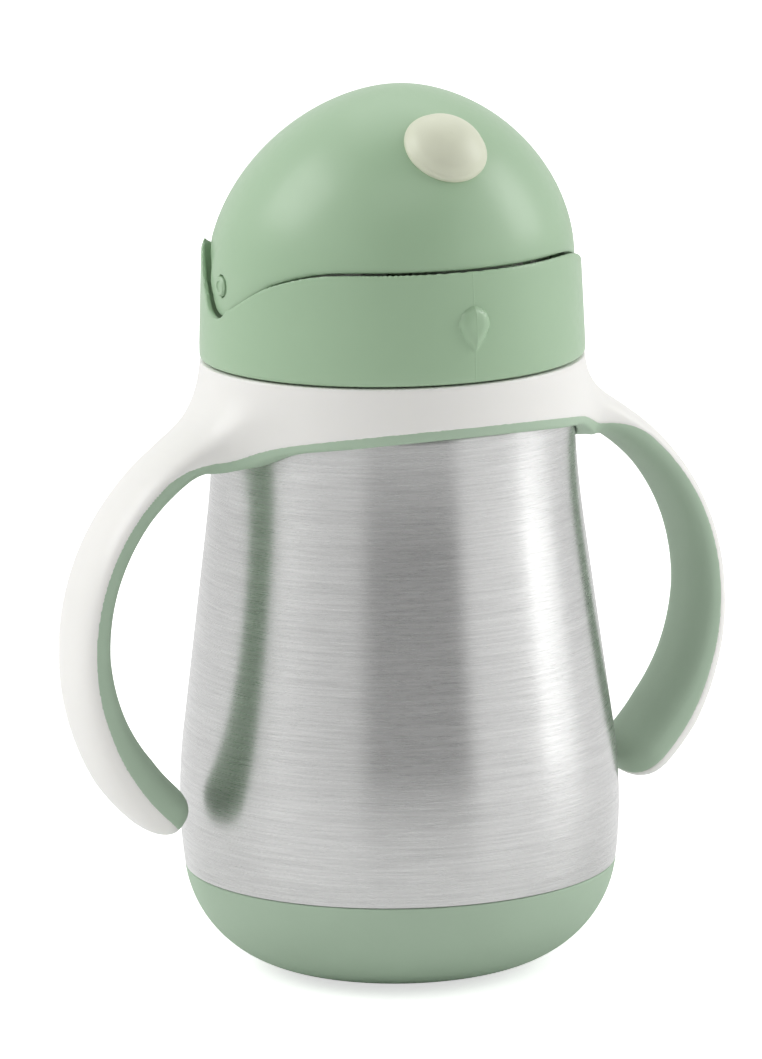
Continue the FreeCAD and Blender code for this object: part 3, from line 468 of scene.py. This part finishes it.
def steel_outline():
    """Section of the steel body. It has a plain neck, without the thread of the CAD shell."""
    foot = BOOT_TOP + BOOT_SEAM
    outer = [(41.24, foot)] + bow((41.26, foot + 0.15), BELLY, BELLY_BOW, 14)
    outer += bow(BELLY, FLANK_LOW, FLANK_LOW_BOW, 16)[1:]
    outer += [FLANK_HIGH] + bow(FLANK_HIGH, SHOULDER, WAIST_BOW, 18)[1:]
    outer += arc((SHOULDER[0] - SHOULDER_ROUND, SHOULDER[1]), SHOULDER_ROUND, 4, 90, 14)
    outer += [(NECK_RADIUS, NECK_FOOT), (NECK_RADIUS, RIM_TOP)]
    bore = NECK_RADIUS - STEEL_WALL
    return outer + [(bore, RIM_TOP), (bore, 106.0)] + STEEL_INSIDE + [(36, foot)]


def boot_outline():
    foot = [(0, BOOT_RECESS), (BOOT_FOOT - 2.4, BOOT_RECESS), (BOOT_FOOT - 1.6, 0)]
    curve = arc((BOOT_FOOT, BOOT_CURVE), BOOT_CURVE, -90, -9.2, 40)
    lip = arc((40.9, BOOT_TOP - 0.36), 0.34, -6, 90, 8)
    inner = [(39.6, BOOT_TOP), (38.6, 14), (34, 6), (26, 2.6), (0, 2.2)]
    return foot + curve + lip + inner


def knob_outline():
    flat = KNOB_RADIUS - KNOB_EDGE
    rim = arc((flat, 0.5), KNOB_EDGE, -80, 52, 12)
    top = curve_through([(KNOB_RADIUS - 0.42, 1.37)] + KNOB_TOP, 8)
    return [(0, KNOB_SINK), (flat, KNOB_SINK)] + rim + top


def make_knob():
    knob = lathe("knob_turned", knob_outline(), 128)
    tilt = Matrix.Rotation(math.radians(KNOB_TILT), 4, "X")
    knob.data.transform(Matrix.Translation((0, KNOB_Y * MM, KNOB_Z * MM)) @ tilt)
    return knob


def make_pins():
    """Both hinge pins, each with a small dished end."""
    side = [(0, 0), (PIN_RADIUS, 0), (PIN_RADIUS, 5.9), (PIN_RADIUS - PIN_CHAMFER, 6.25)]
    pins = []
    for name, hand in (("left", -1), ("right", 1)):
        pin = lathe("pin_turned_" + name, side + PIN_END, 48)
        turn = Matrix.Rotation(math.radians(90 * hand), 4, "Y")
        place = Matrix.Translation((hand * PIN_INNER * MM, HINGE_Y * MM, HINGE_Z * MM))
        pin.data.transform(place @ turn)
        pins.append(pin)
    return pins


# ---------------------------------------------------------------- materials
# Display colours, 0-255.
GREEN, GREEN_SOFT = (161, 190, 157), (170, 192, 169)
WHITE, CREAM, CLEAR, PALE = (238, 237, 233), (214, 217, 195), (232, 236, 230), (242, 242, 242)
GRAIN_DEPTH = 0.0001          # metres
MOULD_LINE_WIDTH, FRONT_Y = 0.00016, -0.03


def linear(*srgb):
    """Linear colour from 0-255 display values."""
    return [((c / 255 + 0.055) / 1.055) ** 2.4 if c > 10 else c / 255 / 12.92 for c in srgb] + [1]


def principled(nodes):
    return next(n for n in nodes if n.type == "BSDF_PRINCIPLED")


def node_set(material):
    material.use_nodes = True
    nodes, links = material.node_tree.nodes, material.node_tree.links
    return nodes, links, principled(nodes)


def noise(nodes, links, vector, scale, detail=4.0, rough=0.55):
    made = nodes.new("ShaderNodeTexNoise")
    made.inputs["Scale"].default_value = scale
    made.inputs["Detail"].default_value = detail
    made.inputs["Roughness"].default_value = rough
    links.new(vector, made.inputs["Vector"])
    return made.outputs["Fac"]


def remap(nodes, links, value, low, high):
    made = nodes.new("ShaderNodeMapRange")
    made.inputs["From Min"].default_value = 0.3
    made.inputs["From Max"].default_value = 0.7
    made.inputs["To Min"].default_value = low
    made.inputs["To Max"].default_value = high
    links.new(value, made.inputs["Value"])
    return made.outputs["Result"]


def object_vector(nodes, links, scale=(1, 1, 1)):
    where = nodes.new("ShaderNodeTexCoord")
    mapping = nodes.new("ShaderNodeMapping")
    mapping.inputs["Scale"].default_value = scale
    links.new(where.outputs["Object"], mapping.inputs["Vector"])
    return mapping.outputs["Vector"]


def bump(nodes, links, shader, height, strength, distance):
    made = nodes.new("ShaderNodeBump")
    made.inputs["Strength"].default_value = strength
    made.inputs["Distance"].default_value = distance
    links.new(height, made.inputs["Height"])
    links.new(made.outputs["Normal"], shader.inputs["Normal"])


def moulded(name, colour, rough, grain=900, relief=0.08, shade=0.035, subsurface=0.0, coat=0.0):
    """Moulded plastic or rubber: faint mottling in colour and gloss, and a fine grain."""
    material = bpy.data.materials.new(name)
    nodes, links, shader = node_set(material)
    vector = object_vector(nodes, links)
    broad = noise(nodes, links, vector, 70)
    mix = nodes.new("ShaderNodeMix")
    mix.data_type = "RGBA"
    base = linear(*colour)
    mix.inputs["A"].default_value = [c * (1 - shade) for c in base[:3]] + [1]
    mix.inputs["B"].default_value = [min(1, c * (1 + shade)) for c in base[:3]] + [1]
    links.new(broad, mix.inputs["Factor"])
    links.new(mix.outputs["Result"], shader.inputs["Base Color"])
    fine = noise(nodes, links, vector, grain, 3)
    links.new(remap(nodes, links, fine, rough - 0.04, rough + 0.04), shader.inputs["Roughness"])
    bump(nodes, links, shader, fine, relief, GRAIN_DEPTH)
    shader.inputs["Subsurface Weight"].default_value = subsurface
    shader.inputs["Subsurface Radius"].default_value = (0.004, 0.004, 0.003)
    shader.inputs["Coat Weight"].default_value = coat
    shader.inputs["Coat Roughness"].default_value = 0.2
    return material


def brushed_steel():
    """Steel brushed round the axis: fine streaks across the height, with a few longer scratches."""
    material = bpy.data.materials.new("brushed_steel_look")
    nodes, links, shader = node_set(material)
    streaks = noise(nodes, links, object_vector(nodes, links, (60, 60, 2600)), 1.0, 5, 0.65)
    hairs = noise(nodes, links, object_vector(nodes, links, (220, 220, 9000)), 1.0, 2, 0.5)
    mix = nodes.new("ShaderNodeMix")
    mix.data_type = "RGBA"
    mix.inputs["A"].default_value = (0.56, 0.56, 0.556, 1)
    mix.inputs["B"].default_value = (0.7, 0.7, 0.693, 1)
    links.new(remap(nodes, links, streaks, 0, 1), mix.inputs["Factor"])
    links.new(mix.outputs["Result"], shader.inputs["Base Color"])
    shader.inputs["Metallic"].default_value = 1.0
    links.new(remap(nodes, links, hairs, 0.24, 0.34), shader.inputs["Roughness"])
    shader.inputs["Anisotropic"].default_value = 0.75
    shader.inputs["Anisotropic Rotation"].default_value = 0.25
    tangent = nodes.new("ShaderNodeTangent")
    tangent.direction_type = "RADIAL"
    tangent.axis = "Z"
    links.new(tangent.outputs["Tangent"], shader.inputs["Tangent"])
    bump(nodes, links, shader, hairs, 0.03, 0.00003)
    return material


def plain_steel():
    material = bpy.data.materials.new("inner_steel_look")
    nodes, links, shader = node_set(material)
    mottle = noise(nodes, links, object_vector(nodes, links), 260)
    shader.inputs["Base Color"].default_value = (0.6, 0.6, 0.59, 1)
    shader.inputs["Metallic"].default_value = 1.0
    links.new(remap(nodes, links, mottle, 0.34, 0.46), shader.inputs["Roughness"])
    return material


def silicone():
    """Milky clear silicone with a faintly uneven surface."""
    material = moulded("clear_silicone_look", CLEAR, 0.34, 700, 0.06)
    shader = principled(material.node_tree.nodes)
    shader.inputs["Transmission Weight"].default_value = 0.45
    shader.inputs["IOR"].default_value = 1.41
    return material


def green_plastic(name):
    return moulded(name, GREEN, 0.36, 650, 0.05, 0.02, 0.05, 0.1)


def make_materials():
    return {
        "brushed_steel": brushed_steel(),
        "inner_steel": plain_steel(),
        "green_soft": moulded("green_soft_look", GREEN_SOFT, 0.62, 1300, 0.14),
        "white_plastic": moulded("white_plastic_look", WHITE, 0.36, 800, 0.05, 0.012, 0.06),
        "green_plastic": green_plastic("green_plastic_look"),
        "cream_plastic": moulded("cream_plastic_look", CREAM, 0.4, 800, 0.05, 0.015, 0.08),
        "clear_silicone": silicone(),
    }


def maths(nodes, links, operation, first, second=None):
    """Math node on one or two values; the second may be a number or a socket."""
    made = nodes.new("ShaderNodeMath")
    made.operation = operation
    links.new(first, made.inputs[0])
    if isinstance(second, float):
        made.inputs[1].default_value = second
    elif second is not None:
        links.new(second, made.inputs[1])
    return made.outputs["Value"]


def front_line(nodes, links):
    """One on a thin line up the middle of the front, zero elsewhere."""
    where = nodes.new("ShaderNodeTexCoord")
    split = nodes.new("ShaderNodeSeparateXYZ")
    links.new(where.outputs["Object"], split.inputs["Vector"])
    line = nodes.new("ShaderNodeMapRange")
    line.inputs["From Max"].default_value = MOULD_LINE_WIDTH
    line.inputs["To Min"].default_value = 1
    line.inputs["To Max"].default_value = 0
    links.new(maths(nodes, links, "ABSOLUTE", split.outputs["X"]), line.inputs["Value"])
    front = maths(nodes, links, "LESS_THAN", split.outputs["Y"], FRONT_Y)
    return maths(nodes, links, "MULTIPLY", line.outputs["Result"], front)


def collar_look():
    """The collar's plastic with a hair-thin mould line down its front."""
    material = green_plastic("collar_look")
    nodes, links, shader = node_set(material)
    grain = next(n for n in nodes if n.type == "BUMP")
    ridge = nodes.new("ShaderNodeBump")
    ridge.inputs["Strength"].default_value = 0.5
    ridge.inputs["Distance"].default_value = GRAIN_DEPTH
    links.new(front_line(nodes, links), ridge.inputs["Height"])
    links.new(grain.outputs["Normal"], ridge.inputs["Normal"])
    links.new(ridge.outputs["Normal"], shader.inputs["Normal"])
    return material


def wear(piece, material):
    piece.data.materials.clear()
    piece.data.materials.append(material)


# ---------------------------------------------------------------- assembly
def add_pieces(looks):
    """Every modelled piece: its body, slot and the CAD nodes it stands for."""
    handle_frame, grips = make_handles()
    left_pin, right_pin = make_pins()
    steel = lathe("steel_body_turned", steel_outline(), 256)
    boot = lathe("boot_turned", boot_outline(), 256)
    made = [
        (steel, "vessel", "brushed_steel", ["vessel_shell"]),
        (boot, "vessel", "green_soft", ["base_boot"]),
        (handle_frame, "vessel", "white_plastic", ["handle_frame"]),
        (grips, "vessel", "green_soft", ["grip_band", "handle_grip_left", "handle_grip_right"]),
        (make_collar(), "lid", "green_plastic", ["lid_collar"]),
        (left_pin, "lid", "green_plastic", ["hinge_pin_left"]),
        (right_pin, "lid", "green_plastic", ["hinge_pin_right"]),
        (make_cover(), "dome", "green_plastic", ["dome_cover"]),
        (make_knob(), "dome", "cream_plastic", ["thumb_knob"]),
    ]
    for piece, body, slot, nodes in made:
        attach(piece, body)
        wear(piece, looks[slot])
        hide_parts(*nodes)
        if "lid_collar" in nodes:
            wear(piece, collar_look())


def finish_cad_nodes(looks):
    """Give the kept CAD nodes the same looks, by the record's material slots."""
    for row in frame["record"]["subparts"]:
        node, slot = frame["nodes"][row["node"]], row["material_slot"]
        for spot in node.material_slots:
            spot.material = looks[slot]


# ---------------------------------------------------------------- stage, light and camera
AIM = Vector((0, 0, 0.085))
CAMERA_DISTANCE, LENS, SENSOR = 1.5, 268.3683, 36          # metres; lens and sensor in mm
LENS_SHIFT = (-0.0133144, -0.0084986)                      # share of the picture's height
CAMERA_AZIMUTH, CAMERA_ELEVATION = math.radians(-25), math.radians(11.46)
CAMERA_ROLL = math.radians(0.92)
BACK_TONE, BACK_START, BACK_END = 0.8, 0.1, -0.35
ROOM_TONES = [(-1.0, 0.6), (-0.9, 0.75), (-0.42, 0.68), (-0.2, 0.14), (0.56, 0.13), (0.7, 1.0),
              (1.0, 1.05)]
FLOOR_SIZE, FLOOR_DROP, FLOOR_GLOW = 6, 0.0002, 0.62
# Name, azimuth, elevation, distance, width, height, power.
SOFTBOXES = [("left_light", -110, 38, 1.2, 0.8, 0.7, 5.6),
             ("right_light", 72, 24, 1.2, 0.55, 0.8, 4.9),
             ("front_light", -15, 50, 1.3, 0.9, 0.5, 1.3),
             ("top_light", 150, 70, 1.1, 0.9, 0.9, 2.2)]


def direction(azimuth, elevation):
    """Unit vector from the cup; azimuth 0 is the front, positive to the right."""
    level = math.cos(elevation)
    return Vector((math.sin(azimuth) * level, -math.cos(azimuth) * level, math.sin(elevation)))


def add_camera():
    back = direction(CAMERA_AZIMUTH, CAMERA_ELEVATION)
    level = Vector((math.cos(CAMERA_AZIMUTH), math.sin(CAMERA_AZIMUTH), 0))
    upright = back.cross(level)
    right = level * math.cos(CAMERA_ROLL) - upright * math.sin(CAMERA_ROLL)
    up = level * math.sin(CAMERA_ROLL) + upright * math.cos(CAMERA_ROLL)
    data = bpy.data.cameras.new("camera")
    data.sensor_width, data.lens = SENSOR, LENS
    data.shift_x, data.shift_y = LENS_SHIFT
    camera = bpy.data.objects.new("camera", data)
    turn = Matrix((right, up, back)).transposed().to_4x4()
    camera.matrix_world = Matrix.Translation(AIM + back * CAMERA_DISTANCE) @ turn
    bpy.context.scene.collection.objects.link(camera)
    bpy.context.scene.camera = camera


def add_softbox(name, azimuth, elevation, distance, width, height, power):
    """Area light aimed at the cup, angles in degrees."""
    away = direction(math.radians(azimuth), math.radians(elevation))
    data = bpy.data.lights.new(name, "AREA")
    data.shape = "RECTANGLE"
    data.size, data.size_y, data.energy = width, height, power
    lamp = bpy.data.objects.new(name, data)
    lamp.location = AIM + away * distance
    lamp.rotation_euler = away.to_track_quat("Z", "Y").to_euler()
    bpy.context.scene.collection.objects.link(lamp)


def share_along(nodes, links, where, way):
    """How far the looked-at direction points along a fixed one, from -1 to 1."""
    made = nodes.new("ShaderNodeVectorMath")
    made.operation = "DOT_PRODUCT"
    made.inputs[1].default_value = way
    links.new(where.outputs["Generated"], made.inputs[0])
    return made.outputs["Value"]


def room_ramp(nodes, links, across):
    """Grey tones of the room from its left to its right."""
    spread = nodes.new("ShaderNodeMapRange")
    spread.inputs["From Min"].default_value = -1
    links.new(across, spread.inputs["Value"])
    ramp = nodes.new("ShaderNodeValToRGB")
    links.new(spread.outputs["Result"], ramp.inputs["Fac"])
    while len(ramp.color_ramp.elements) < len(ROOM_TONES):
        ramp.color_ramp.elements.new(0.5)
    for element, (place, tone) in zip(ramp.color_ramp.elements, ROOM_TONES):
        element.position = (place + 1) / 2
        element.color = (tone, tone, tone, 1)
    ramp.color_ramp.interpolation = "EASE"
    return ramp.outputs["Color"]


def room_tone(nodes, links):
    """The ramp in front of the cup, and one even tone behind it."""
    a = CAMERA_AZIMUTH
    where = nodes.new("ShaderNodeTexCoord")
    across = share_along(nodes, links, where, (math.cos(a), math.sin(a), 0))
    forward = share_along(nodes, links, where, (math.sin(a), -math.cos(a), 0))
    behind = nodes.new("ShaderNodeMapRange")
    behind.interpolation_type = "SMOOTHSTEP"
    behind.inputs["From Min"].default_value = BACK_START
    behind.inputs["From Max"].default_value = BACK_END
    links.new(forward, behind.inputs["Value"])
    tones = nodes.new("ShaderNodeMix")
    tones.data_type = "RGBA"
    tones.inputs["B"].default_value = (BACK_TONE, BACK_TONE, BACK_TONE, 1)
    links.new(behind.outputs["Result"], tones.inputs["Factor"])
    links.new(room_ramp(nodes, links, across), tones.inputs["A"])
    return tones.outputs["Result"]


def add_world():
    """White to the camera, and a toned studio to everything else."""
    world = bpy.data.worlds.new("studio")
    bpy.context.scene.world = world
    world.use_nodes = True
    nodes, links = world.node_tree.nodes, world.node_tree.links
    nodes.clear()
    room = nodes.new("ShaderNodeBackground")
    links.new(room_tone(nodes, links), room.inputs["Color"])
    white = nodes.new("ShaderNodeBackground")
    white.inputs["Color"].default_value = (1, 1, 1, 1)
    path = nodes.new("ShaderNodeLightPath")
    choose = nodes.new("ShaderNodeMixShader")
    links.new(path.outputs["Is Camera Ray"], choose.inputs["Fac"])
    links.new(room.outputs["Background"], choose.inputs[1])
    links.new(white.outputs["Background"], choose.inputs[2])
    out = nodes.new("ShaderNodeOutputWorld")
    links.new(choose.outputs["Shader"], out.inputs["Surface"])


def floor_look():
    """Pale floor that also glows a little, to the camera only."""
    pale = moulded("floor_look", PALE, 0.8, 30, 0.0, 0.004)
    nodes, links, shader = node_set(pale)
    shader.inputs["Emission Color"].default_value = (FLOOR_GLOW, FLOOR_GLOW, FLOOR_GLOW, 1)
    path = nodes.new("ShaderNodeLightPath")
    links.new(path.outputs["Is Camera Ray"], shader.inputs["Emission Strength"])
    return pale


def add_stage():
    bpy.ops.mesh.primitive_plane_add(size=FLOOR_SIZE, location=(0, 0, -FLOOR_DROP))
    floor = bpy.context.active_object
    floor.name = "floor"
    wear(floor, floor_look())
    floor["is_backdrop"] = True
    for softbox in SOFTBOXES:
        add_softbox(*softbox)
    bpy.context.scene.view_settings.view_transform = "Standard"


LOOKS = make_materials()
add_pieces(LOOKS)
finish_cad_nodes(LOOKS)
add_world()
add_stage()
add_camera()

({"cad": [list(map(float, v)) for v in (CAD_LOW, CAD_HIGH)],
           "visual": [list(map(float, v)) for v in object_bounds()]})
